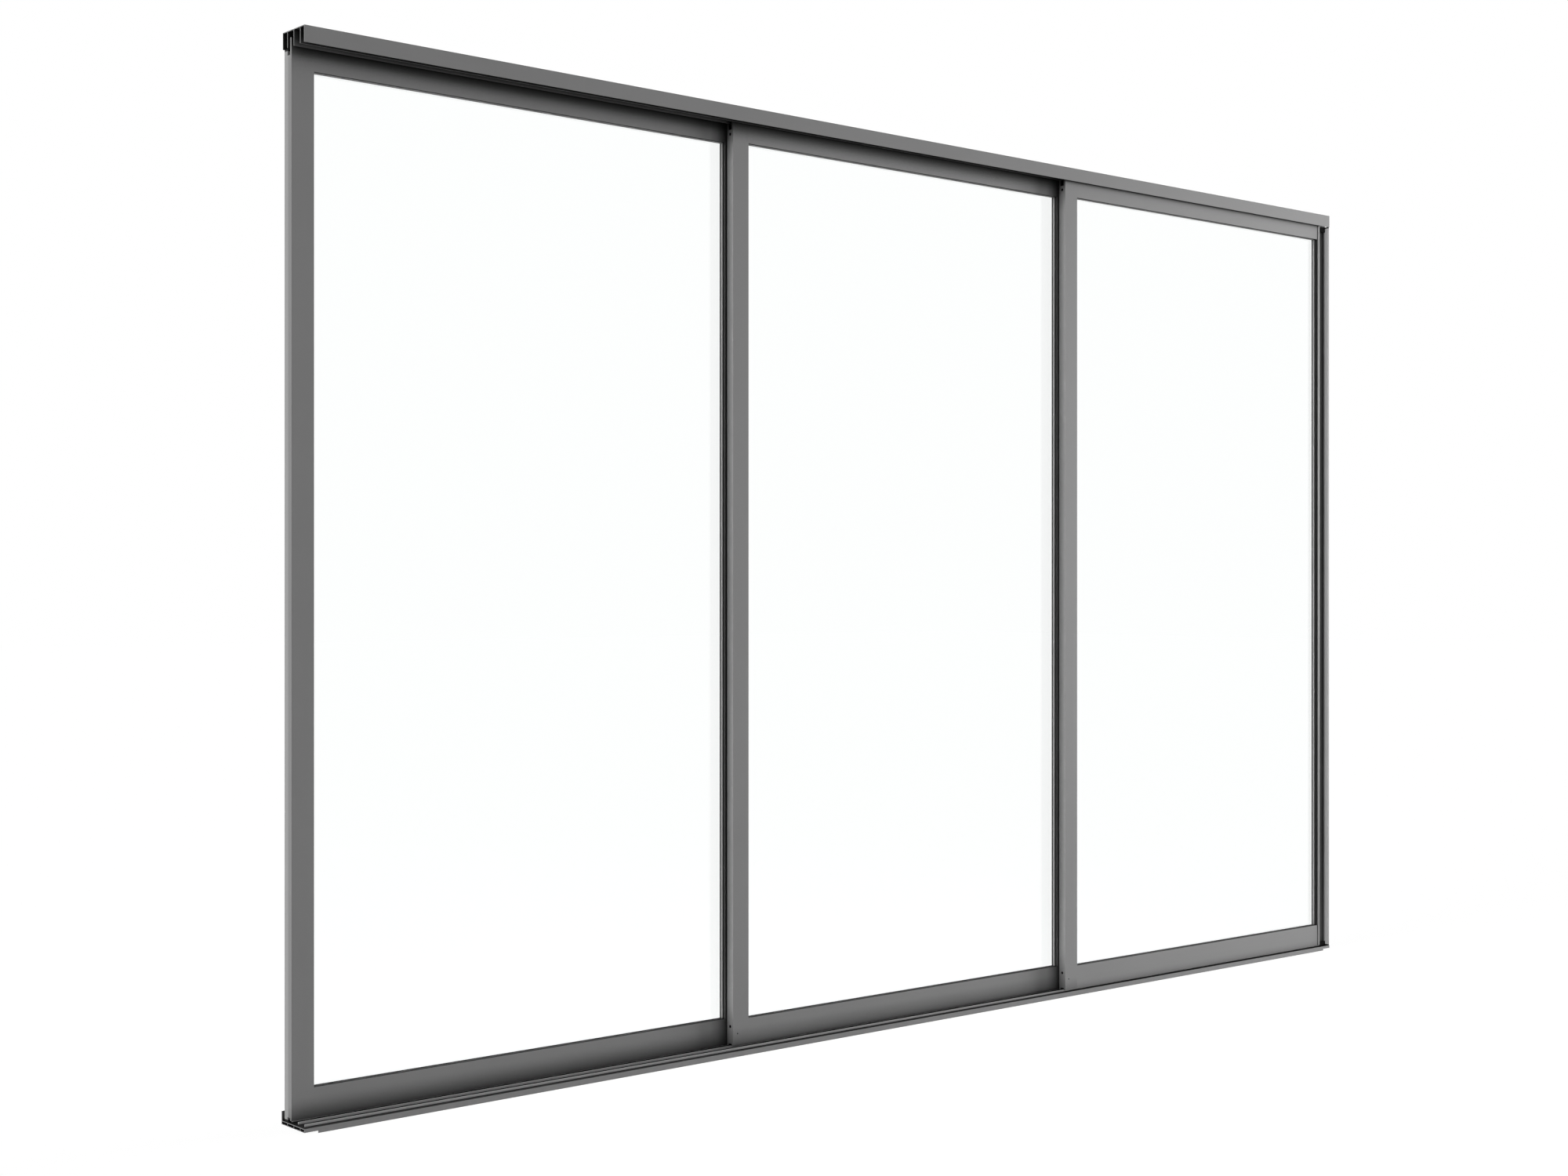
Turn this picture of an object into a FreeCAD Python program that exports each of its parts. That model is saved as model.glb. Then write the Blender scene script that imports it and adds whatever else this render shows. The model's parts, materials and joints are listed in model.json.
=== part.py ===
import FreeCAD, Part
import os
import re
import Sketcher

# Three-track sliding glass door: a top track, a low floor track and three framed glass panels
# that slide past each other. X runs along the door, Y points to the back, Z points up.
# The origin is on the floor, in the middle of the floor track.

os.makedirs("parts", exist_ok=True)
doc = FreeCAD.newDocument("SlidingDoor")

# Driving sizes in millimetres
SIZES = {
    # Whole door
    "overall_height": 2500,
    "track_length": 3874,
    "end_gap": 3.5,
    "meeting_overlap": 50,
    # Top track
    "top_track_height": 38.5,
    "track_wall": 2,
    "fin_thickness": 2.2,
    "fascia_clearance": 5,
    "rear_clearance": 8,
    "lift_clearance": 13,
    "track_hole_diameter": 6,
    "track_hole_inset": 137,
    # Floor track
    "floor_lip_height": 5.4,
    "floor_lip_thickness": 2,
    "floor_lip_inset": 35.5,
    "floor_pad_setback": 10,
    "floor_pad_inset": 60,
    "base_height": 8.6,
    "base_wall": 1.6,
    "upstand_thickness": 3,
    "upstand_height": 21.5,
    "upstand_clearance": 5,
    "rail_thickness": 2.2,
    "rail_height": 5.5,
    "rail_inset": 11,
    # Panels
    "panel_thickness": 25,
    "panel_gap": 5,
    "panel_floor_clearance": 5,
    "wall_stile_width": 57,
    "meeting_stile_width": 53,
    "top_rail_height": 70,
    "bottom_rail_height": 69,
    "profile_wall": 2.5,
    "guide_channel_depth": 39,
    "roller_channel_depth": 41,
    "track_slot_width": 12.5,
    "rail_slot_height": 6,
    "access_hole_diameter": 8,
    "access_hole_inset": 51,
    "front_hole_diameter": 4,
    "front_hole_inset": 15,
    "front_hole_rise": 32.5,
    # Grip on the two wall stiles
    "grip_projection": 8,
    "grip_depth": 9,
    "grip_ledge_flat": 10.5,
    "grip_ledge_width": 24.5,
    "grip_flange_width": 7,
    "shadow_joint": 4,
    # Glazing
    "glazing_lip": 2,
    "gasket_width": 9.5,
    "gasket_groove_depth": 3,
    "gasket_recess": 1,
    "bead_width": 6.5,
    "bead_depth": 6,
    "bead_end_gap": 0.5,
    "glass_thickness": 5,
    "glass_cover": 9,
    "glass_edge_room": 3,
    # Rollers and guides
    "roller_offset": 150,
    "housing_length": 90,
    "housing_wall": 3,
    "housing_cap": 4,
    "housing_height": 38,
    "axle_diameter": 6,
    "axle_play": 0.05,
    "wheel_width": 10,
    "wheel_tread_diameter": 21,
    "wheel_flange_height": 2,
    "wheel_groove_width": 3,
    "running_clearance": 0.3,
    "guide_length": 40,
    "guide_height": 25,
    "guide_web": 2.5,
    "guide_drop": 5,
}

# Places worked out from the driving sizes
PLACES = {
    "opening_width": "(track_length - 2 * end_gap + 2 * meeting_overlap"
                     " - 2 * wall_stile_width - 4 * meeting_stile_width) / 3",
    "wall_panel_width": "wall_stile_width + opening_width + meeting_stile_width",
    "middle_panel_width": "opening_width + 2 * meeting_stile_width",
    "panel_pitch": "panel_thickness + panel_gap",
    "top_track_depth": "2 * track_wall + fascia_clearance + rear_clearance"
                       " + 3 * panel_thickness + 2 * panel_gap",
    "floor_track_depth": "track_wall + fascia_clearance + 3 * panel_thickness + 2 * panel_gap"
                         " + grip_projection + upstand_clearance + upstand_thickness",
    "front_y": "-floor_track_depth / 2",
    "front_panel_y": "front_y + track_wall + fascia_clearance",
    "middle_panel_y": "front_panel_y + panel_pitch",
    "rear_panel_y": "front_panel_y + 2 * panel_pitch",
    "first_fin": "track_wall + fascia_clearance + panel_thickness / 2",
    "outer_hole_spacing": "track_length - 2 * track_hole_inset",
    "inner_hole_spacing": "outer_hole_spacing / 3",
    "left_end_x": "-track_length / 2",
    "left_panel_x": "left_end_x + end_gap",
    "middle_panel_x": "-middle_panel_width / 2",
    "right_panel_x": "track_length / 2 - end_gap - wall_panel_width",
    "base_top": "floor_lip_height + base_height",
    "rail_top": "base_top + rail_height",
    "panel_bottom": "base_top + panel_floor_clearance",
    "panel_top": "overall_height - track_wall - lift_clearance",
    "panel_height": "panel_top - panel_bottom",
    "fascia_bottom": "overall_height - top_track_height",
    "opening_bottom": "panel_bottom + bottom_rail_height",
    "opening_top": "panel_top - top_rail_height",
    "gasket_back": "glazing_lip + gasket_width",
    "glass_front": "gasket_back + bead_width",
    "glass_back": "glass_front + glass_thickness",
    "pocket_depth": "glass_cover + glass_edge_room",
    "cavity_start": "pocket_depth + profile_wall",
    "top_rail_core": "top_rail_height - guide_channel_depth",
    "bottom_rail_core": "bottom_rail_height - roller_channel_depth",
    "flange_trim": "panel_top - fascia_bottom + fascia_clearance",
    "channel_width": "panel_thickness - 2 * profile_wall",
    "axle_height": "rail_top + running_clearance + wheel_tread_diameter / 2",
}


def link(text):
    """Put the sheet's name before every alias in an expression."""
    def owner(match):
        word = match.group(0)
        return f"Sizes.{word}" if word in SIZES else f"Places.{word}"
    return re.sub(r"[a-z][a-z_]+", owner, text)


def make_sheet(name, cells):
    sheet = doc.addObject("Spreadsheet::Sheet", name)
    for row, (alias, text) in enumerate(cells.items(), start=1):
        sheet.set(f"A{row}", alias)
        sheet.set(f"B{row}", text)
        sheet.setAlias(f"B{row}", alias)
    doc.recompute()
    return sheet


def own_cells(text):
    """The same expression as link gives, with the names of the second sheet left bare."""
    return link(text).replace("Places.", "")


sizes = make_sheet("Sizes", {alias: str(number) for alias, number in SIZES.items()})
places = make_sheet("Places", {alias: "=" + own_cells(text) for alias, text in PLACES.items()})


def value(text):
    """The number that an expression of aliases stands for."""
    return float(places.evalExpression(link(text)))


def bind(item, **texts):
    """Bind properties of an object to expressions of aliases."""
    for name, text in texts.items():
        item.setExpression(name, link(text))


def place(item, x, y, z):
    """Bind an object's place, in the door's frame."""
    item.setExpression("Placement.Base.x", link(x))
    item.setExpression("Placement.Base.y", link(y))
    item.setExpression("Placement.Base.z", link(z))


def tangent_arc(start, end, heading):
    """The arc that leaves start along heading and ends at end, and whether it turns left."""
    chord = end - start
    across = FreeCAD.Vector(-heading.y, heading.x, 0).normalize()
    offset = chord.dot(chord) / (2 * chord.dot(across))
    centre = start + across * offset
    circle = Part.Circle(centre, FreeCAD.Vector(0, 0, 1), abs(offset))
    ends = [circle.parameter(start), circle.parameter(end)]
    turns_left = offset > 0
    if not turns_left:
        ends.reverse()
    return Part.ArcOfCircle(circle, *ends), turns_left


def draw_loop(sketch, corners):
    """Draw a closed outline whose corners are bound to expressions.

    A corner is (x, y), or (x, y, "arc") where the side that ends there is a tangent arc.
    """
    points = [FreeCAD.Vector(value(corner[0]), value(corner[1]), 0) for corner in corners]
    sides = []
    heading = None
    for number, start in enumerate(points):
        follower = (number + 1) % len(points)
        end = points[follower]
        is_arc = len(corners[follower]) > 2
        turns_left = True
        if is_arc:
            shape, turns_left = tangent_arc(start, end, heading)
        else:
            shape = Part.LineSegment(start, end)
            heading = end - start
        index = sketch.addGeometry(shape, False)
        first, last = (1, 2) if turns_left else (2, 1)
        sides.append((index, first, last, is_arc))
    for number, (index, first, last, is_arc) in enumerate(sides):
        before, before_first, before_last, before_arc = sides[number - 1]
        joint = "Tangent" if is_arc else "Coincident"
        sketch.addConstraint(Sketcher.Constraint(joint, before, before_last, index, first))
        across = sketch.addConstraint(
            Sketcher.Constraint("DistanceX", -1, 1, index, first, points[number].x))
        sketch.setExpression(f"Constraints[{across}]", link(corners[number][0]))
        up = sketch.addConstraint(
            Sketcher.Constraint("DistanceY", -1, 1, index, first, points[number].y))
        sketch.setExpression(f"Constraints[{up}]", link(corners[number][1]))


def draw_circle(sketch, x_text, y_text, diameter_text):
    """Draw a circle whose centre and diameter are bound to expressions."""
    centre = FreeCAD.Vector(value(x_text), value(y_text), 0)
    circle = Part.Circle(centre, FreeCAD.Vector(0, 0, 1), value(diameter_text) / 2)
    index = sketch.addGeometry(circle, False)
    size = sketch.addConstraint(Sketcher.Constraint("Diameter", index, value(diameter_text)))
    across = sketch.addConstraint(Sketcher.Constraint("DistanceX", -1, 1, index, 3, centre.x))
    up = sketch.addConstraint(Sketcher.Constraint("DistanceY", -1, 1, index, 3, centre.y))
    sketch.setExpression(f"Constraints[{size}]", link(diameter_text))
    sketch.setExpression(f"Constraints[{across}]", link(x_text))
    sketch.setExpression(f"Constraints[{up}]", link(y_text))


def blank_sketch(body, role):
    """An empty sketch on one of the body's own origin planes."""
    sketch = body.newObject("Sketcher::SketchObject", "Sketch")
    plane = next(item for item in body.Origin.OriginFeatures if item.Role == role)
    sketch.AttachmentSupport = [(plane, "")]
    sketch.MapMode = "FlatFace"
    return sketch


def add_sketch(body, role, loops):
    """A sketch of closed outlines."""
    sketch = blank_sketch(body, role)
    for corners in loops:
        draw_loop(sketch, corners)
    return sketch


def extrude(label, role, loops, length):
    """A body made by one pad: XY_Plane profiles rise along Z, YZ_Plane profiles run along X."""
    body = doc.addObject("PartDesign::Body", label)
    body.Label = label
    pad = body.newObject("PartDesign::Pad", "Pad")
    pad.Profile = add_sketch(body, role, loops)
    bind(pad, Length=length)
    return body


def cut(body, sketch, against_normal, depth=None):
    """Cut a sketch's outlines to a depth, or through the whole body, and see that metal goes."""
    doc.recompute()
    before = body.Shape.Volume
    pocket = body.newObject("PartDesign::Pocket", "Pocket")
    pocket.Profile = sketch
    pocket.Reversed = not against_normal
    if depth:
        bind(pocket, Length=depth)
    else:
        pocket.Type = "ThroughAll"
    doc.recompute()
    if not body.Shape.Volume < before:
        raise RuntimeError(f"the cut in {body.Label} removes nothing")


def rectangle(x_low, y_low, x_high, y_high):
    return [(x_low, y_low), (x_high, y_low), (x_high, y_high), (x_low, y_high)]


def group(label, items):
    """One node made of like solids that do not touch."""
    node = doc.addObject("Part::Compound", label)
    node.Label = label
    node.Links = items
    return node


def bar(x, y, z, length, width, height, label=None):
    """A plain bar, by its low corner and its sizes along X, Y and Z."""
    box = doc.addObject("Part::Box", label or "Bar")
    if label:
        box.Label = label
    bind(box, Length=length, Width=width, Height=height)
    place(box, x, y, z)
    return box


nodes = []

# The three lines that the panels run on, from the front
LINES = ("front", "middle", "rear")


def line_depth(number):
    """How far a line is behind the front face of the tracks."""
    return f"(first_fin + {number} * panel_pitch)"


# Top track: a plate with screw holes in the two troughs between its fins
top_plate = rectangle("0", "0", "top_track_depth", "track_wall")
top_track = extrude("top_track", "YZ_Plane", [top_plate], "track_length")
place(top_track, "left_end_x", "front_y", "overall_height - track_wall")
hole_sketch = blank_sketch(top_track, "XY_Plane")
for spacing in ("outer_hole_spacing", "inner_hole_spacing"):
    for side in ("-", "+"):
        for number in range(len(LINES) - 1):
            draw_circle(hole_sketch, f"track_length / 2 {side} {spacing} / 2",
                        f"{line_depth(number)} + panel_pitch / 2", "track_hole_diameter")
cut(top_track, hole_sketch, against_normal=False)
nodes.append(top_track)

# What hangs from the plate: the fascia, the three fins that the panels straddle, the rear wall
hanging = [("0", "track_wall")]
for number in range(len(LINES)):
    hanging.append((f"{line_depth(number)} - fin_thickness / 2", "fin_thickness"))
hanging.append(("top_track_depth - track_wall", "track_wall"))
nodes.append(group("top_track_flanges", [
    bar("left_end_x", f"front_y + {start}", "fascia_bottom", "track_length", thickness,
        "top_track_height - track_wall") for start, thickness in hanging]))

# Floor track: a low hollow base with a web under each running rail, and a rear upstand

def web_start(number):
    return f"({line_depth(number)} - base_wall / 2)"


base_loops = [[("0", "0"), ("floor_track_depth", "0"),
               ("floor_track_depth", "base_height + upstand_height"),
               ("floor_track_depth - upstand_thickness", "base_height + upstand_height"),
               ("floor_track_depth - upstand_thickness", "base_height"), ("0", "base_height")]]
chamber_ends = [("base_wall", web_start(0)),
                (f"{web_start(0)} + base_wall", web_start(1)),
                (f"{web_start(1)} + base_wall", web_start(2)),
                (f"{web_start(2)} + base_wall", "floor_track_depth - upstand_thickness")]
for low, high in chamber_ends:
    base_loops.append(rectangle(low, "base_wall", high, "base_height - base_wall"))
floor_track = extrude("floor_track", "YZ_Plane", base_loops, "track_length")
place(floor_track, "left_end_x", "front_y", "floor_lip_height")
nodes.append(floor_track)

# Running rails: thin strips with a rounded top
rail_corners = [("0", "0"), ("rail_thickness", "0"),
                ("rail_thickness", "rail_height - rail_thickness / 2"),
                ("0", "rail_height - rail_thickness / 2", "arc")]
for number, name in enumerate(LINES):
    rail = extrude(f"running_rail_{name}", "YZ_Plane", [rail_corners],
                   "track_length - 2 * rail_inset")
    place(rail, "left_end_x + rail_inset",
          f"front_y + {line_depth(number)} - rail_thickness / 2", "base_top")
    nodes.append(rail)

# Front lip and levelling pad under the floor track
nodes.append(bar("left_end_x + floor_lip_inset", "front_y", "0",
                 "track_length - 2 * floor_lip_inset", "floor_lip_thickness",
                 "floor_lip_height", "floor_lip"))
nodes.append(bar("left_end_x + floor_pad_inset", "front_y + floor_pad_setback", "0",
                 "track_length - 2 * floor_pad_inset",
                 "floor_track_depth - 2 * floor_pad_setback", "floor_lip_height", "floor_pad"))


# Panel profiles. A profile's corners are pairs: how far into the metal from the edge of the
# glass opening, and how deep behind the panel's front face.

FRONT_STEPS = [("0", "0"), ("0", "glazing_lip"), ("gasket_groove_depth", "glazing_lip"),
               ("gasket_groove_depth", "gasket_back"), ("bead_depth", "gasket_back")]
GLASS_STEPS = [("bead_depth", "glass_front"), ("pocket_depth", "glass_front"),
               ("pocket_depth", "glass_back"), ("0", "glass_back"), ("0", "panel_thickness")]
GLAZING_STEPS = FRONT_STEPS + GLASS_STEPS


def from_opening(corners, side, width):
    """Corners for a stile whose glass is on its left or right."""
    if side == "left":
        return corners
    return [(f"{width} - ({corner[0]})",) + corner[1:] for corner in corners]


def cavity(width, front, back):
    """The hollow inside a stile, between its walls."""
    return rectangle("cavity_start", f"{front} + profile_wall", f"{width} - profile_wall",
                     f"{back} - profile_wall")


def slot_loops(front):
    """Slots at a stile's ends, where the running rail and the top track's fin pass through."""
    low = f"{front} + (panel_thickness - track_slot_width) / 2"
    high = f"{front} + (panel_thickness + track_slot_width) / 2"
    return [rectangle(low, "0", high, "rail_slot_height"),
            rectangle(low, "panel_height - guide_channel_depth", high, "panel_height")]


def add_upright(label, loops, x, y, front="0", length="panel_height"):
    """An upright profile with its end slots, placed by its left edge and its front face."""
    upright = extrude(label, "XY_Plane", loops, length)
    place(upright, x, y, "panel_bottom")
    slots = add_sketch(upright, "YZ_Plane", slot_loops(front))
    cut(upright, slots, against_normal=False)
    nodes.append(upright)
    return upright


def add_stile_holes(stile, wall_x, front_x):
    """Access holes through the outer wall near both ends, and a small one in front."""
    side_holes = blank_sketch(stile, "YZ_Plane")
    side_holes.setExpression("AttachmentOffset.Base.z", link(wall_x))
    for height in ("access_hole_inset", "panel_height - access_hole_inset"):
        draw_circle(side_holes, "panel_thickness / 2", height, "access_hole_diameter")
    cut(stile, side_holes, against_normal=False, depth="profile_wall")
    front_hole = blank_sketch(stile, "XZ_Plane")
    draw_circle(front_hole, front_x, "front_hole_rise", "front_hole_diameter")
    cut(stile, front_hole, against_normal=True, depth="profile_wall")


def add_meeting_stile(label, opening_side, x, y):
    """A plain hollow stile."""
    outline = GLAZING_STEPS + [("meeting_stile_width", "panel_thickness"),
                               ("meeting_stile_width", "0")]
    hollow = cavity("meeting_stile_width", "0", "panel_thickness")
    loops = [from_opening(loop, opening_side, "meeting_stile_width") for loop in (outline, hollow)]
    stile = add_upright(label, loops, x, y)
    if opening_side == "left":
        add_stile_holes(stile, "meeting_stile_width - profile_wall",
                        "meeting_stile_width - front_hole_inset")
    else:
        add_stile_holes(stile, "0", "front_hole_inset")


def add_grip_flange(side, x, y, front):
    """The flange that stands proud of a wall stile's grip groove, cut short of the top track."""
    flange = rectangle("0", "0", "grip_flange_width", "grip_projection + grip_depth")
    add_upright(f"{side}_grip_flange", [flange], x, y, front, "panel_height - flange_trim")


def add_left_wall_stile(x, y):
    """Flat in front, with a rounded cover and the grip groove at the back."""
    groove_floor = "panel_thickness - grip_depth"
    outline = FRONT_STEPS + [("bead_depth", groove_floor), ("wall_stile_width", groove_floor),
                             ("wall_stile_width", "0")]
    hollow = cavity("wall_stile_width", "0", groove_floor)
    loops = [from_opening(loop, "right", "wall_stile_width") for loop in (outline, hollow)]
    add_upright("left_wall_stile", loops, x, y)
    cover = [("bead_depth", groove_floor)] + GLASS_STEPS + [
        ("grip_ledge_flat", "panel_thickness"), ("grip_ledge_width", groove_floor, "arc")]
    add_upright("left_grip_cover", [from_opening(cover, "right", "wall_stile_width")], x, y)
    add_grip_flange("left", x, f"{y} + {groove_floor}", f"-({groove_floor})")


def add_right_wall_stile(x, y):
    """Flat at the back, with a rounded cover and the grip groove in front."""
    outline = [("gasket_groove_depth", "grip_depth")] + GLAZING_STEPS[3:] + [
        ("wall_stile_width", "panel_thickness"), ("wall_stile_width", "grip_depth")]
    hollow = cavity("wall_stile_width", "grip_depth", "panel_thickness")
    add_upright("right_wall_stile", [outline, hollow], x, y)
    cover = [("gasket_groove_depth", "grip_depth"), ("gasket_groove_depth", "glazing_lip"),
             ("shadow_joint", "glazing_lip"), ("shadow_joint", "0"), ("grip_ledge_flat", "0"),
             ("grip_ledge_width", "grip_depth", "arc")]
    add_upright("right_grip_cover", [cover], x, y)
    add_grip_flange("right", f"{x} + wall_stile_width - grip_flange_width",
                    f"{y} - grip_projection", "grip_projection")


# Horizontal rails between the stiles: hollow cores with the glass on one edge, and the flanges
# of the guide channel above the top one and of the roller channel under the bottom one

def add_rail(label, core, glass_side, x, y, z):
    """A hollow core whose glass is above or below it."""
    outline = GLAZING_STEPS + [(core, "panel_thickness"), (core, "0")]
    hollow = rectangle("cavity_start", "profile_wall", f"{core} - profile_wall",
                       "panel_thickness - profile_wall")
    loops = []
    for loop in (outline, hollow):
        if glass_side == "above":
            loops.append([(deep, f"{core} - ({up})") for up, deep in loop])
        else:
            loops.append([(deep, up) for up, deep in loop])
    rail = extrude(label, "YZ_Plane", loops, "opening_width")
    place(rail, x, y, z)
    nodes.append(rail)


def add_rails(side, x, y):
    add_rail(f"{side}_top_rail", "top_rail_core", "below", x, y, "opening_top")
    add_rail(f"{side}_bottom_rail", "bottom_rail_core", "above", x, y,
             "panel_bottom + roller_channel_depth")
    flanges = []
    for front in (y, f"{y} + panel_thickness - profile_wall"):
        flanges.append(bar(x, front, "panel_top - guide_channel_depth", "opening_width",
                           "profile_wall", "guide_channel_depth"))
        flanges.append(bar(x, front, "panel_bottom", "opening_width", "profile_wall",
                           "roller_channel_depth"))
    nodes.append(group(f"{side}_rail_flanges", flanges))


# Glass, and the gaskets and glazing beads in front of it

def framing_bars(side, kind, x, y, sunk, depth, width, end_gap):
    """Four bars round the opening, sunk into the stiles and rails by a distance and a depth."""
    rise = "opening_top - opening_bottom"
    run = f"opening_width - 2 * {end_gap}"
    bars = [
        bar(f"{x} - {sunk} - ({depth})", y, "opening_bottom", depth, width, rise),
        bar(f"{x} + opening_width + {sunk}", y, "opening_bottom", depth, width, rise),
        bar(f"{x} + {end_gap}", y, f"opening_bottom - {sunk} - ({depth})", run, width, depth),
        bar(f"{x} + {end_gap}", y, f"opening_top + {sunk}", run, width, depth),
    ]
    nodes.append(group(f"{side}_{kind}", bars))


def add_glazing(side, x, y):
    nodes.append(bar(f"{x} - glass_cover", f"{y} + glass_front", "opening_bottom - glass_cover",
                     "opening_width + 2 * glass_cover", "glass_thickness",
                     "opening_top - opening_bottom + 2 * glass_cover", f"{side}_glass"))
    framing_bars(side, "gaskets", x, f"{y} + glazing_lip", "gasket_recess",
                 "gasket_groove_depth - gasket_recess", "gasket_width", "bead_end_gap")
    framing_bars(side, "glazing_beads", x, f"{y} + gasket_back", "0",
                 "bead_depth", "bead_width", "bead_end_gap")


# Roller carriages in the bottom rail, and guide blocks in the top rail
FULL_TURN = 360


def roller_housing(x, y):
    """An inverted channel screwed up into the bottom rail, with the wheel's axle across it."""
    outline = [("0", "0"), ("housing_wall", "0"), ("housing_wall", "housing_height - housing_cap"),
               ("channel_width - housing_wall", "housing_height - housing_cap"),
               ("channel_width - housing_wall", "0"), ("channel_width", "0"),
               ("channel_width", "housing_height"), ("0", "housing_height")]
    housing = extrude("RollerHousing", "YZ_Plane", [outline], "housing_length")
    low_z = "panel_bottom + roller_channel_depth - housing_height"
    place(housing, f"{x} - housing_length / 2", f"{y} + profile_wall", low_z)
    doc.recompute()
    sketch = blank_sketch(housing, "XZ_Plane")
    draw_circle(sketch, "housing_length / 2", f"axle_height - ({low_z})", "axle_diameter")
    axle = housing.newObject("PartDesign::Pad", "Axle")
    axle.Profile = sketch
    axle.Reversed = True
    bind(axle, Length="channel_width")
    return housing


def roller_wheel(x, y):
    """A grooved wheel that runs on the rail's rounded top."""
    wheel = doc.addObject("PartDesign::Body", "RollerWheel")
    bore = "axle_diameter / 2 + axle_play"
    tread = "wheel_tread_diameter / 2"
    flange = f"{tread} + wheel_flange_height"
    groove_low = "(wheel_width - wheel_groove_width) / 2"
    groove_high = "(wheel_width + wheel_groove_width) / 2"
    outline = [(bore, "0"), (flange, "0"), (flange, groove_low), (tread, groove_low),
               (tread, groove_high), (flange, groove_high), (flange, "wheel_width"),
               (bore, "wheel_width")]
    turning = wheel.newObject("PartDesign::Revolution", "Turning")
    turning.Profile = add_sketch(wheel, "XY_Plane", [outline])
    turning.ReferenceAxis = (turning.Profile[0], ["V_Axis"])
    turning.Angle = FULL_TURN
    place(wheel, x, f"{y} + (panel_thickness - wheel_width) / 2", "axle_height")
    return wheel


def guide_block(x, y):
    """A block with a groove that hugs the top track's fin."""
    groove_low = "channel_width / 2 - fin_thickness / 2 - running_clearance"
    groove_high = "channel_width / 2 + fin_thickness / 2 + running_clearance"
    outline = [("0", "0"), ("channel_width", "0"), ("channel_width", "guide_height"),
               (groove_high, "guide_height"), (groove_high, "guide_web"),
               (groove_low, "guide_web"), (groove_low, "guide_height"), ("0", "guide_height")]
    block = extrude("GuideBlock", "YZ_Plane", [outline], "guide_length")
    place(block, f"{x} - guide_length / 2", f"{y} + profile_wall",
          "fascia_bottom - guide_drop - guide_web")
    return block


def add_running_gear(side, x, y):
    ends = [f"{x} + roller_offset", f"{x} + opening_width - roller_offset"]
    nodes.append(group(f"{side}_roller_housings", [roller_housing(end, y) for end in ends]))
    nodes.append(group(f"{side}_roller_wheels", [roller_wheel(end, y) for end in ends]))
    nodes.append(group(f"{side}_top_guides", [guide_block(end, y) for end in ends]))


# The three panels: the left one runs on the rear rail, the right one on the front rail

def fill_panel(side, x, y):
    """What every panel has between its stiles, from its glass opening's left edge."""
    add_rails(side, x, y)
    add_glazing(side, x, y)
    add_running_gear(side, x, y)


left_opening_x = "left_panel_x + wall_stile_width"
add_left_wall_stile("left_panel_x", "rear_panel_y")
fill_panel("left", left_opening_x, "rear_panel_y")
add_meeting_stile("left_meeting_stile", "left", f"{left_opening_x} + opening_width",
                  "rear_panel_y")

middle_opening_x = "middle_panel_x + meeting_stile_width"
add_meeting_stile("middle_left_stile", "right", "middle_panel_x", "middle_panel_y")
fill_panel("middle", middle_opening_x, "middle_panel_y")
add_meeting_stile("middle_right_stile", "left", f"{middle_opening_x} + opening_width",
                  "middle_panel_y")

right_opening_x = "right_panel_x + meeting_stile_width"
add_meeting_stile("right_meeting_stile", "right", "right_panel_x", "front_panel_y")
fill_panel("right", right_opening_x, "front_panel_y")
add_right_wall_stile(f"{right_opening_x} + opening_width", "front_panel_y")

# Check every object, then write one file per node
doc.recompute()
for item in doc.Objects:
    if "Invalid" in item.State or "Error" in item.State:
        raise RuntimeError(f"{item.Label} failed: {item.State}")
for node in nodes:
    if node.Shape.isNull() or not node.Shape.isValid():
        raise RuntimeError(f"{node.Label} has no valid shape")
for node in nodes:
    node.Shape.exportStep(f"parts/{node.Label}.step")
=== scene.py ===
import json
import math

import bmesh
import bpy
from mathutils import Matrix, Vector


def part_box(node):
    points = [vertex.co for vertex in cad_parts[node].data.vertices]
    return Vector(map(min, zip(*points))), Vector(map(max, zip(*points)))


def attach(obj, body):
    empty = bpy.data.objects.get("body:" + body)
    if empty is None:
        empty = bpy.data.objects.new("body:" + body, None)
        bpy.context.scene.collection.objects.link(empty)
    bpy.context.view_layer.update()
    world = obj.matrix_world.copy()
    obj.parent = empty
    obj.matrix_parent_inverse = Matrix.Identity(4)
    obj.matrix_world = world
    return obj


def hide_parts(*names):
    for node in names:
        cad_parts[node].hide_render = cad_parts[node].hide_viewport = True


# Sliding glass door: three framed panels between a top track and a floor track.
# The solids come from the frame. This script gives them their finish and adds the small parts.

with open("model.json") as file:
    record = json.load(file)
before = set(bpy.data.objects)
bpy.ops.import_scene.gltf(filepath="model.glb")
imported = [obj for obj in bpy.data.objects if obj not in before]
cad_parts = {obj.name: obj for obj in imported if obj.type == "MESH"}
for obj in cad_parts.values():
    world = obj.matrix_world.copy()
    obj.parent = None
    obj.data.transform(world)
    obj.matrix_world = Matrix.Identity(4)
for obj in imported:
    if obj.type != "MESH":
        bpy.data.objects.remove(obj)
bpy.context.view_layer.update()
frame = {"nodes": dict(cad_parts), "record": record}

MM = 0.001
PANELS = ("left", "middle", "right")

# The camera, as the photograph's perspective gives it
CAMERA_PLACE = (-4.3118, -4.4736, 1.2319)
CAMERA_TILT = 90
CAMERA_HEADING = -40.67
LENS = 50
SENSOR_WIDTH = 36
CLIP_END = 200

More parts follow.
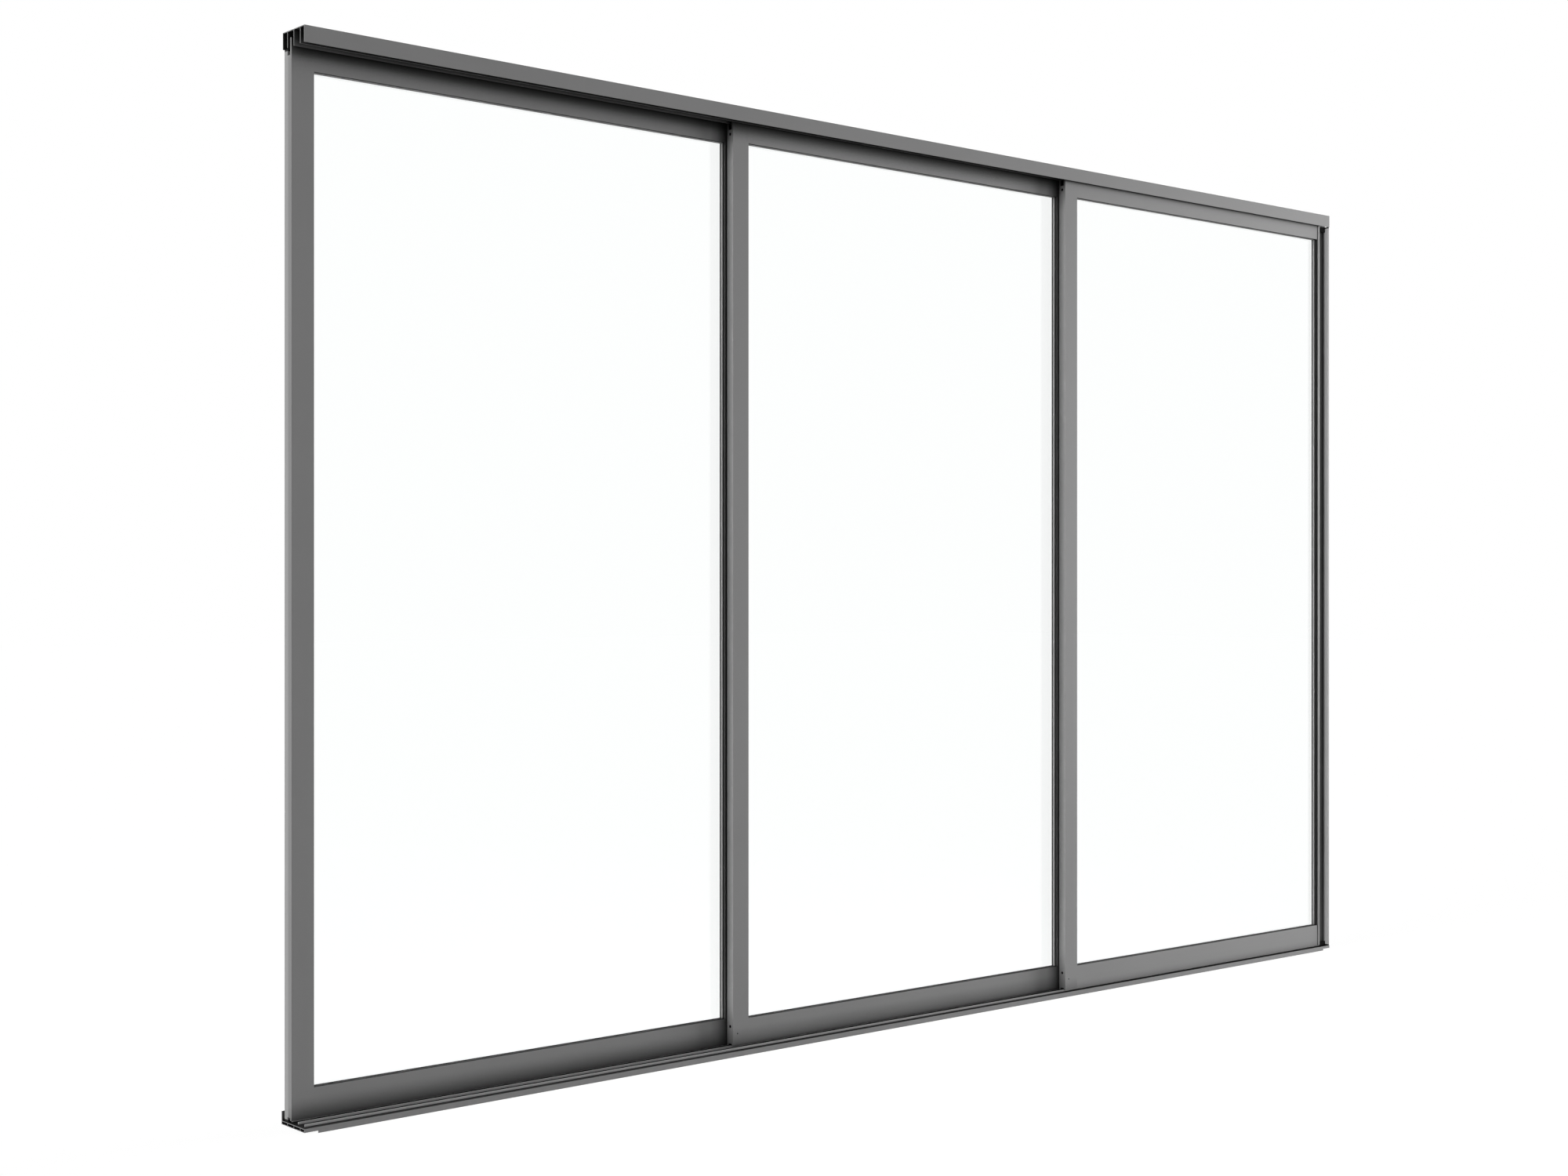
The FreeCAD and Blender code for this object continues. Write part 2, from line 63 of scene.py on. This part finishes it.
# Light: a room that is darker overhead, two low soft suns that graze the door's front from its
# ends, and a third that lights its back. For each: its strength, the way it shines, and its
# angle in degrees.
ROOM_LEVEL = 0.75
ROOM_FALL = 2
SUNS = {
    "left_lamp": (4.3, (1.0, 0.15, -0.05), 16),
    "right_lamp": (4.1, (-1.0, 0.2, -0.04), 20),
    "back_lamp": (1.5, (-0.3, -1.0, -0.04), 20),
}
FLOOR_SIZE = 80
FLOOR_COLOUR = (0.97, 0.97, 0.97, 1)
FLOOR_SHADE_COLOUR = (0.15, 0.15, 0.15, 1)
FLOOR_LIFT = 0.955


def add(tree, kind, inputs=None, **settings):
    """A node with its settings and its inputs, which are numbers, colours or other outputs."""
    node = tree.nodes.new(kind)
    for name, setting in settings.items():
        setattr(node, name, setting)
    for name, source in (inputs or {}).items():
        feed(tree, node.inputs[name], source)
    return node


def feed(tree, socket, source):
    """Link a socket to an output, or set it to a number or a colour."""
    if isinstance(source, bpy.types.NodeSocket):
        tree.links.new(source, socket)
    else:
        socket.default_value = source


def new_material(name):
    material = bpy.data.materials.new(name)
    material.use_nodes = True
    material.node_tree.nodes.clear()
    return material, material.node_tree


def show(tree, shader, kind="ShaderNodeOutputMaterial"):
    add(tree, kind, {"Surface": shader})


def mixed_shader(tree, factor, first, second):
    mixed = add(tree, "ShaderNodeMixShader", {"Fac": factor})
    tree.links.new(first, mixed.inputs[1])
    tree.links.new(second, mixed.inputs[2])
    return mixed.outputs["Shader"]


def mixed_number(tree, factor, first, second):
    mixed = add(tree, "ShaderNodeMix", {"Factor": factor, "A": first, "B": second},
                data_type="FLOAT")
    return mixed.outputs["Result"]


def mixed_colour(tree, factor, first, second):
    mixed = add(tree, "ShaderNodeMix", {"Factor": factor}, data_type="RGBA")
    for name, colour in (("A", first), ("B", second)):
        socket = next(item for item in mixed.inputs if item.name == name and item.type == "RGBA")
        feed(tree, socket, (*colour, 1) if isinstance(colour, tuple) else colour)
    return next(item for item in mixed.outputs if item.type == "RGBA")


def calculated(tree, operation, first, second):
    """The result of a Math node."""
    node = add(tree, "ShaderNodeMath", operation=operation)
    for socket, source in zip(node.inputs, (first, second)):
        feed(tree, socket, source)
    return node.outputs[0]


def rise_of(tree, vector):
    """How far up a vector reaches."""
    return add(tree, "ShaderNodeSeparateXYZ", {"Vector": vector}).outputs["Z"]


# Finishes

# The part of a noise's range that its values mostly keep to
NOISE_LOW = 0.3
NOISE_HIGH = 0.7
EVEN = (1, 1, 1)

ALUMINIUM_COLOUR = (0.165, 0.165, 0.165)
# Painted shade: the grip's cover is darker than the other anodised metal
COVER_SHADED_COLOUR = (0.135, 0.135, 0.135)
# Painted light: the grip's flange is lighter than the other anodised metal
GRIP_LIT_COLOUR = (0.22, 0.22, 0.22)
BEAD_COLOUR = (0.15, 0.15, 0.15)
RAIL_COLOUR = (0.34, 0.34, 0.34)
STEEL_COLOUR = (0.36, 0.36, 0.36)
GLASS_COLOUR = (0.985, 0.997, 0.993, 1)
RUBBER_COLOUR = (0.006, 0.006, 0.006)
PAD_COLOUR = (0.02, 0.02, 0.02)
NYLON_COLOUR = (0.05, 0.05, 0.05)

# Satin metal: fine lines along the profile, faint clouds, and how much each changes it
GRAIN_ALONG_X = (4, 1600, 1600)
GRAIN_ALONG_Z = (1600, 1600, 4)
STEEL_GRAIN = (300, 300, 300)
LINE_DETAIL = 2
LINE_DEPTH = 0.02 * MM
METAL_CLOUD_SCALE = 3
METAL_CLOUD_DETAIL = 3
METAL_CLOUD_CHANGE = 0.02
METAL_ROUGHNESS_CHANGE = 0.03
METALLIC = 0.3
METAL_SPECULAR = 0.1
SATIN_ROUGHNESS = 0.45
RAIL_ROUGHNESS = 0.35
STEEL_ROUGHNESS = 0.34

# Glass: as good as flat, with the faint waves of float glass
GLASS_IOR = 1.5
WAVE_SCALE = 2
WAVE_DETAIL = 1
WAVE_DEPTH = 0.02 * MM

# Rubber and plastic
MATTE_DETAIL = 2
MATTE_CLOUD_SCALE = 8
MATTE_CLOUD_CHANGE = 0.12
MATTE_ROUGHNESS_CHANGE = 0.06
MATTE_SPECULAR = 0.1

# How far the painted shade of joints, grooves and neighbours reaches. The rails of the panels
# that stand further back are painted deeper in the tracks' shade.
STILE_JOINT = 56 * MM
RAIL_JOINTS = {"left": 56 * MM, "middle": 54 * MM, "right": 42 * MM}
TRACK_JOINT = 34 * MM
COVER_JOINT = 12 * MM
BASE_JOINT = 60 * MM
OPENNESS_SAMPLES = 8
# How deep that painted shade is, and how much less over the pale floor, which throws light up
# into it
PAINTED_SHADE_COLOUR = (0.004, 0.004, 0.004)
JOINT_POWER = 4
FOOT_POWER = 1.6
FLOOR_GLOW_HEIGHT = 0.3
# Faces that look up: how much painted shade darkens ledges, and the roughness that keeps low
# lamps from glaring there
LEDGE_SHADE = 0.8
DULL_ROUGHNESS = 0.9


def stretched_noise(tree, stretch, scale, detail):
    """Noise in the piece's own place, drawn out along its grain."""
    place = add(tree, "ShaderNodeTexCoord").outputs["Object"]
    drawn = add(tree, "ShaderNodeMapping", {"Vector": place, "Scale": stretch})
    noise = add(tree, "ShaderNodeTexNoise",
                {"Vector": drawn.outputs["Vector"], "Scale": scale, "Detail": detail})
    return noise.outputs["Fac"]


def between(tree, factor, low, high):
    """A number that follows noise from low to high."""
    spread = add(tree, "ShaderNodeMapRange", {
        "Value": factor, "From Min": NOISE_LOW, "From Max": NOISE_HIGH, "To Min": low,
        "To Max": high})
    return spread.outputs["Result"]


def tinted(tree, factor, colour, change):
    """A colour that noise makes a little darker and lighter."""
    dark = tuple(channel * (1 - change) for channel in colour)
    light = tuple(channel * (1 + change) for channel in colour)
    return mixed_colour(tree, between(tree, factor, 0, 1), dark, light)


def openness(tree, reach, own_only):
    """How much of the room a point can see past what stands within reach."""
    node = add(tree, "ShaderNodeAmbientOcclusion", {"Distance": reach},
               samples=OPENNESS_SAMPLES, only_local=own_only)
    return node.outputs["AO"]


def upward(tree):
    """1 on level faces that look up, 0 on walls and undersides."""
    normal = add(tree, "ShaderNodeNewGeometry").outputs["Normal"]
    return calculated(tree, "MAXIMUM", rise_of(tree, normal), 0.0)


def joint_power(tree):
    """How deep the painted shade of joints is at each height over the floor."""
    place = add(tree, "ShaderNodeNewGeometry").outputs["Position"]
    power = add(tree, "ShaderNodeMapRange", {
        "Value": rise_of(tree, place), "From Min": 0.0, "From Max": FLOOR_GLOW_HEIGHT,
        "To Min": FOOT_POWER, "To Max": JOINT_POWER})
    return power.outputs["Result"]


def shaded_in_recesses(tree, colour, reach, over_floor):
    """The colour, with painted shade in joints, grooves and hollows.

    Where the profile stands just over the floor, only its own hollows darken it, and what
    stands on its upper faces.
    """
    seen = openness(tree, reach, False)
    if over_floor:
        seen = mixed_number(tree, upward(tree), openness(tree, reach, True), seen)
        power = JOINT_POWER
    else:
        power = joint_power(tree)
    return mixed_colour(tree, calculated(tree, "POWER", seen, power), PAINTED_SHADE_COLOUR, colour)


def painted_ledge_shade(tree, colour):
    """The colour, with painted shade on ledges and troughs that look up."""
    shade = calculated(tree, "MULTIPLY", upward(tree), LEDGE_SHADE)
    return mixed_colour(tree, shade, colour, PAINTED_SHADE_COLOUR)


def bump(tree, height, depth):
    return add(tree, "ShaderNodeBump", {"Height": height, "Distance": depth}).outputs["Normal"]


def aluminium(name, colour, grain, roughness, reach=None, over_floor=False, ledges=False,
              dull_top=True):
    """Satin anodised metal with fine lines along the way it was extruded.

    Painted shade darkens it where something stands within reach, and on ledges too.
    Faces that look up can be duller.
    """
    material, tree = new_material(name)
    lines = stretched_noise(tree, grain, 1, LINE_DETAIL)
    clouds = stretched_noise(tree, EVEN, METAL_CLOUD_SCALE, METAL_CLOUD_DETAIL)
    finish = tinted(tree, clouds, colour, METAL_CLOUD_CHANGE)
    # Painted shade in joints, grooves and hollows, and on ledges that look up
    if reach:
        finish = shaded_in_recesses(tree, finish, reach, over_floor)
    if ledges:
        finish = painted_ledge_shade(tree, finish)
    rough = between(tree, lines, roughness - METAL_ROUGHNESS_CHANGE,
                    roughness + METAL_ROUGHNESS_CHANGE)
    if dull_top:
        rough = mixed_number(tree, upward(tree), rough, DULL_ROUGHNESS)
    shader = add(tree, "ShaderNodeBsdfPrincipled", {
        "Base Color": finish,
        "Metallic": METALLIC,
        "Roughness": rough,
        "Specular IOR Level": METAL_SPECULAR,
        "Normal": bump(tree, lines, LINE_DEPTH),
    })
    show(tree, shader.outputs["BSDF"])
    return material


def glass():
    """Clear float glass that lets lamps through."""
    material, tree = new_material("clear_glass")
    waves = stretched_noise(tree, EVEN, WAVE_SCALE, WAVE_DETAIL)
    pane = add(tree, "ShaderNodeBsdfPrincipled", {
        "Base Color": GLASS_COLOUR,
        "Roughness": 0.0,
        "IOR": GLASS_IOR,
        "Transmission Weight": 1.0,
        "Normal": bump(tree, waves, WAVE_DEPTH),
    })
    clear = add(tree, "ShaderNodeBsdfTransparent")
    path = add(tree, "ShaderNodeLightPath")
    show(tree, mixed_shader(tree, path.outputs["Is Shadow Ray"], pane.outputs["BSDF"],
                            clear.outputs["BSDF"]))
    return material


def matte(name, colour, roughness, grain_size, depth):
    """Rubber or moulded plastic with a fine grain."""
    material, tree = new_material(name)
    grain = stretched_noise(tree, EVEN, 1 / grain_size, MATTE_DETAIL)
    clouds = stretched_noise(tree, EVEN, MATTE_CLOUD_SCALE, MATTE_DETAIL)
    shader = add(tree, "ShaderNodeBsdfPrincipled", {
        "Base Color": tinted(tree, clouds, colour, MATTE_CLOUD_CHANGE),
        "Roughness": between(tree, grain, roughness - MATTE_ROUGHNESS_CHANGE,
                             roughness + MATTE_ROUGHNESS_CHANGE),
        "Specular IOR Level": MATTE_SPECULAR,
        "Normal": bump(tree, grain, depth),
    })
    show(tree, shader.outputs["BSDF"])
    return material


stile_metal = aluminium("anodised_stile", ALUMINIUM_COLOUR, GRAIN_ALONG_Z, SATIN_ROUGHNESS,
                        STILE_JOINT)
panel_rail_metals = {
    side: aluminium(f"anodised_{side}_rail", ALUMINIUM_COLOUR, GRAIN_ALONG_X, SATIN_ROUGHNESS,
                    RAIL_JOINTS[side], ledges=True)
    for side in PANELS}
track_metal = aluminium("anodised_track", ALUMINIUM_COLOUR, GRAIN_ALONG_X, SATIN_ROUGHNESS,
                        TRACK_JOINT)
base_metal = aluminium("anodised_base", ALUMINIUM_COLOUR, GRAIN_ALONG_X, SATIN_ROUGHNESS,
                       BASE_JOINT, over_floor=True, ledges=True)
# Painted shade on the grip's cover and painted light on its flange, both of the same metal
shaded_cover_metal = aluminium("anodised_cover_shaded", COVER_SHADED_COLOUR, GRAIN_ALONG_Z, SATIN_ROUGHNESS,
                        COVER_JOINT)
lit_grip_metal = aluminium("anodised_grip_lit", GRIP_LIT_COLOUR, GRAIN_ALONG_Z, SATIN_ROUGHNESS)
bead_metal = aluminium("anodised_bead", BEAD_COLOUR, GRAIN_ALONG_X, SATIN_ROUGHNESS,
                       ledges=True)
running_rail_metal = aluminium("running_rail_metal", RAIL_COLOUR, GRAIN_ALONG_X, RAIL_ROUGHNESS,
                               dull_top=False)
steel = aluminium("zinc_plated_steel", STEEL_COLOUR, STEEL_GRAIN, STEEL_ROUGHNESS)
clear_glass = glass()
rubber = matte("black_rubber", RUBBER_COLOUR, roughness=0.62, grain_size=0.4 * MM,
               depth=0.02 * MM)
pad_plastic = matte("pad_plastic", PAD_COLOUR, roughness=0.7, grain_size=0.8 * MM,
                    depth=0.05 * MM)
nylon = matte("grey_nylon", NYLON_COLOUR, roughness=0.5, grain_size=0.3 * MM, depth=0.01 * MM)

SLOT_FINISHES = {"glass": clear_glass, "gasket": rubber, "pad": pad_plastic, "housing": steel,
                 "roller": nylon, "guide": nylon, "running_rail": running_rail_metal,
                 "bead": bead_metal}


def finish_of(name, slot):
    """The finish of a solid: its slot's, or satin metal with the grain along its profile."""
    if slot in SLOT_FINISHES:
        return SLOT_FINISHES[slot]
    if name in ("floor_track", "floor_lip"):
        return base_metal
    if name.startswith("top_track"):
        return track_metal
    if name.endswith("_grip_flange"):
        return lit_grip_metal
    if name.endswith("_grip_cover"):
        return shaded_cover_metal
    if name.endswith("_stile"):
        return stile_metal
    return panel_rail_metals[name.split("_")[0]]


for part in frame["record"]["subparts"]:
    node = frame["nodes"][part["node"]]
    node.data.materials.clear()
    node.data.materials.append(finish_of(part["node"], part["material_slot"]))


def link_piece(name, mesh, material, body, place=(0, 0, 0)):
    """Put a piece in its place and let it ride on its body."""
    mesh.materials.append(material)
    piece = bpy.data.objects.new(name, mesh)
    piece.location = place
    bpy.context.scene.collection.objects.link(piece)
    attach(piece, body)
    return piece


def finished_mesh(name, shape):
    mesh = bpy.data.meshes.new(name)
    shape.to_mesh(mesh)
    shape.free()
    return mesh


# Gaskets: black rubber with three sealing ribs, run round each glass opening with mitred corners

STRIP_THICKNESS = 2 * MM
RIB_VALLEY = 0.8 * MM
# Sections across the strip: how deep behind its front edge in millimetres, and how far its face
# stands back, as a share of the valley between two ribs
RIB_SECTION = [(0.0, 0.5), (0.5, 0.0), (2.0, 0.0), (2.4, 1.0), (3.1, 1.0), (3.5, 0.0),
               (6.0, 0.0), (6.4, 1.0), (7.1, 1.0), (7.5, 0.0), (9.0, 0.0), (9.5, 0.5)]


def make_gasket(side):
    low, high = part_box(f"{side}_gaskets")
    section = [(depth * MM, STRIP_THICKNESS - back * RIB_VALLEY) for depth, back in RIB_SECTION]
    section += [(section[-1][0], 0.0), (0.0, 0.0)]
    shape = bmesh.new()
    rings = []
    for depth, inward in section:
        corners = [(low.x + inward, low.z + inward), (high.x - inward, low.z + inward),
                   (high.x - inward, high.z - inward), (low.x + inward, high.z - inward)]
        rings.append([shape.verts.new((x, low.y + depth, z)) for x, z in corners])
    for number, ring in enumerate(rings):
        before = rings[number - 1]
        for corner in range(4):
            after = (corner + 1) % 4
            shape.faces.new((before[corner], before[after], ring[after], ring[corner]))
    bmesh.ops.recalc_face_normals(shape, faces=shape.faces)
    name = f"{side}_glazing_gasket"
    gasket = link_piece(name, finished_mesh(name, shape), rubber, f"{side}_panel")
    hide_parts(f"{side}_gaskets")


for side in PANELS:
    make_gasket(side)


# Assembly screws: a domed head with a hexagonal socket, behind each access hole in a stile

# Turned outline of the head, as radius and height over the wall that it holds, and the heights
# of its socket's rim and floor, all in millimetres
HEAD_OUTLINE = [(3.5, 0.0), (3.5, 1.4), (3.3, 1.9), (2.8, 2.4), (2.1, 2.6)]
SOCKET_HEIGHTS = (2.6, 1.0)
SOCKET_HALF_WIDTH = 1.5 * MM
TURN_STEPS = 24
# Where a stile's cavity starts, from its glass side, and how far its holes are from its ends
CAVITY_START = 14.5 * MM
HOLE_INSET = 51 * MM


def socket_radius(turn):
    """How far a hexagon's edge is from its middle at an angle."""
    sixth = math.pi / 3
    return SOCKET_HALF_WIDTH / math.cos(turn % sixth - sixth / 2)


def screw_mesh(name, way):
    """A screw's head that points along X, to the side that way gives."""
    turns = [2 * math.pi * step / TURN_STEPS for step in range(TURN_STEPS)]
    rings = [[(radius * MM, height * MM)] * TURN_STEPS for radius, height in HEAD_OUTLINE]
    rings += [[(socket_radius(turn), height * MM) for turn in turns]
              for height in SOCKET_HEIGHTS]
    shape = bmesh.new()
    made = [[shape.verts.new((way * height, radius * math.cos(turn), radius * math.sin(turn)))
             for turn, (radius, height) in zip(turns, ring)] for ring in rings]
    for lower, upper in zip(made, made[1:]):
        for step in range(TURN_STEPS):
            after = (step + 1) % TURN_STEPS
            shape.faces.new((lower[step], lower[after], upper[after], upper[step]))
    shape.faces.new(made[0])
    shape.faces.new(made[-1])
    bmesh.ops.recalc_face_normals(shape, faces=shape.faces)
    return finished_mesh(name, shape)


def make_screws(stile, body, way):
    """Two screws in a hollow stile, whose outer wall lies to the side that way gives."""
    low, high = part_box(stile)
    middle_y = (low.y + high.y) / 2
    wall_x = low.x + CAVITY_START if way > 0 else high.x - CAVITY_START
    for end, height in (("low", low.z + HOLE_INSET), ("high", high.z - HOLE_INSET)):
        name = f"{stile}_{end}_screw"
        link_piece(name, screw_mesh(name, way), steel, body,
                   (wall_x, middle_y, height))


make_screws("left_meeting_stile", "left_panel", 1)
make_screws("middle_left_stile", "middle_panel", -1)
make_screws("middle_right_stile", "middle_panel", 1)
make_screws("right_meeting_stile", "right_panel", -1)


# Painted shade: black rubber blocks that close the ends of the two grip grooves and fill the
# clearance between each grip and the tracks, where those gaps lie in shade

SHADE_BLOCK_PLAY = 0.4 * MM
SHADE_BLOCK_SETBACK = 3 * MM
SHADE_BLOCK_EDGE = 0.4 * MM
TOP_SHADE_BLOCK_REACH = 13 * MM
FOOT_SHADE_BLOCK_REACH = 9 * MM


def make_shade_block(name, low, high, body):
    """A black rubber block with its edges broken, put where there is only shade."""
    size = Vector(high) - Vector(low)
    middle = (Vector(high) + Vector(low)) / 2
    shape = bmesh.new()
    bmesh.ops.create_cube(shape, size=1)
    for corner in shape.verts:
        corner.co = Vector(a * b for a, b in zip(corner.co, size))
    bmesh.ops.bevel(shape, geom=shape.edges[:], offset=SHADE_BLOCK_EDGE, segments=1, affect="EDGES")
    link_piece(name, finished_mesh(name, shape), rubber, body, middle)


def make_shade_blocks(side):
    """The painted-shade blocks at the top and the foot of one grip: on its flange and in its
    groove.
    """
    grip_low, grip_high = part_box(f"{side}_grip_flange")
    cover_low, cover_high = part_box(f"{side}_grip_cover")
    if side == "right":
        groove_x = (cover_high.x, grip_low.x)
        groove_y = (cover_low.y + SHADE_BLOCK_SETBACK, grip_high.y)
    else:
        groove_x = (grip_high.x, cover_low.x)
        groove_y = (grip_low.y, cover_high.y - SHADE_BLOCK_SETBACK)
    under_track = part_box("top_track_flanges")[0].z - SHADE_BLOCK_PLAY
    over_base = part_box("running_rail_front")[0].z + SHADE_BLOCK_PLAY
    # From which height to which each block reaches, on the flange and in the groove
    spans = {"top": ((grip_high.z, under_track), (grip_high.z - TOP_SHADE_BLOCK_REACH, under_track)),
             "foot": ((over_base, grip_low.z), (over_base, grip_low.z + FOOT_SHADE_BLOCK_REACH))}
    for end, (on_flange, in_groove) in spans.items():
        make_shade_block(f"{side}_grip_{end}_shade_block", (grip_low.x, grip_low.y, on_flange[0]),
                   (grip_high.x, grip_high.y, on_flange[1]), f"{side}_panel")
        make_shade_block(f"{side}_groove_{end}_shade_block", (groove_x[0], groove_y[0], in_groove[0]),
                   (groove_x[1], groove_y[1], in_groove[1]), f"{side}_panel")


for side in ("left", "right"):
    make_shade_blocks(side)


# Studio

def white_to_eyes(tree):
    """1 for rays that show a background, straight, mirrored or through glass, and 0 for light."""
    path = add(tree, "ShaderNodeLightPath").outputs
    straight = calculated(tree, "MAXIMUM", path["Is Camera Ray"], path["Is Transmission Ray"])
    return calculated(tree, "MAXIMUM", straight, path["Is Glossy Ray"])


def light_world():
    """A room that looks white, and whose light grows weaker from the horizon up."""
    world = bpy.data.worlds.new("studio")
    bpy.context.scene.world = world
    world.use_nodes = True
    tree = world.node_tree
    tree.nodes.clear()
    height = rise_of(tree, add(tree, "ShaderNodeTexCoord").outputs["Generated"])
    lowness = calculated(tree, "SUBTRACT", 1.0, calculated(tree, "MAXIMUM", height, 0.0))
    fall = calculated(tree, "POWER", lowness, ROOM_FALL)
    room = calculated(tree, "MULTIPLY", fall, ROOM_LEVEL)
    light = add(tree, "ShaderNodeBackground", {
        "Color": (1, 1, 1, 1), "Strength": mixed_number(tree, white_to_eyes(tree), room, 1.0)})
    show(tree, light.outputs["Background"], "ShaderNodeOutputWorld")


def hang_sun(name, strength, way, angle):
    """A distant lamp that shines along way, as soft as its angle in degrees."""
    data = bpy.data.lights.new(name, "SUN")
    data.energy = strength
    data.angle = math.radians(angle)
    lamp = bpy.data.objects.new(name, data)
    lamp.rotation_euler = Vector(way).to_track_quat("-Z", "Y").to_euler()
    bpy.context.scene.collection.objects.link(lamp)


def make_floor():
    """A pale floor that looks white to the camera and keeps the door's soft shadow.

    It lets lamps through, so that low lamps light the door's whole height evenly.
    """
    material, tree = new_material("floor")
    real = add(tree, "ShaderNodeBsdfDiffuse", {"Color": FLOOR_COLOUR})
    shade = add(tree, "ShaderNodeBsdfDiffuse", {"Color": FLOOR_SHADE_COLOUR})
    lift = add(tree, "ShaderNodeEmission", {"Color": (1, 1, 1, 1), "Strength": FLOOR_LIFT})
    white = add(tree, "ShaderNodeAddShader")
    tree.links.new(shade.outputs["BSDF"], white.inputs[0])
    tree.links.new(lift.outputs["Emission"], white.inputs[1])
    seen = mixed_shader(tree, white_to_eyes(tree), real.outputs["BSDF"], white.outputs["Shader"])
    clear = add(tree, "ShaderNodeBsdfTransparent").outputs["BSDF"]
    shadow_ray = add(tree, "ShaderNodeLightPath").outputs["Is Shadow Ray"]
    show(tree, mixed_shader(tree, shadow_ray, seen, clear))
    mesh = bpy.data.meshes.new("floor")
    half = FLOOR_SIZE / 2
    mesh.from_pydata([(-half, -half, 0), (half, -half, 0), (half, half, 0), (-half, half, 0)],
                     [], [(0, 1, 2, 3)])
    mesh.materials.append(material)
    floor = bpy.data.objects.new("floor", mesh)
    bpy.context.scene.collection.objects.link(floor)


def make_camera():
    data = bpy.data.cameras.new("camera")
    data.lens = LENS
    data.sensor_width = SENSOR_WIDTH
    data.clip_end = CLIP_END
    camera = bpy.data.objects.new("camera", data)
    camera.location = CAMERA_PLACE
    camera.rotation_euler = (math.radians(CAMERA_TILT), 0, math.radians(CAMERA_HEADING))
    bpy.context.scene.collection.objects.link(camera)
    bpy.context.scene.camera = camera


light_world()
for name, (strength, way, angle) in SUNS.items():
    hang_sun(name, strength, way, angle)
make_floor()
make_camera()
bpy.context.scene.view_settings.view_transform = "Standard"
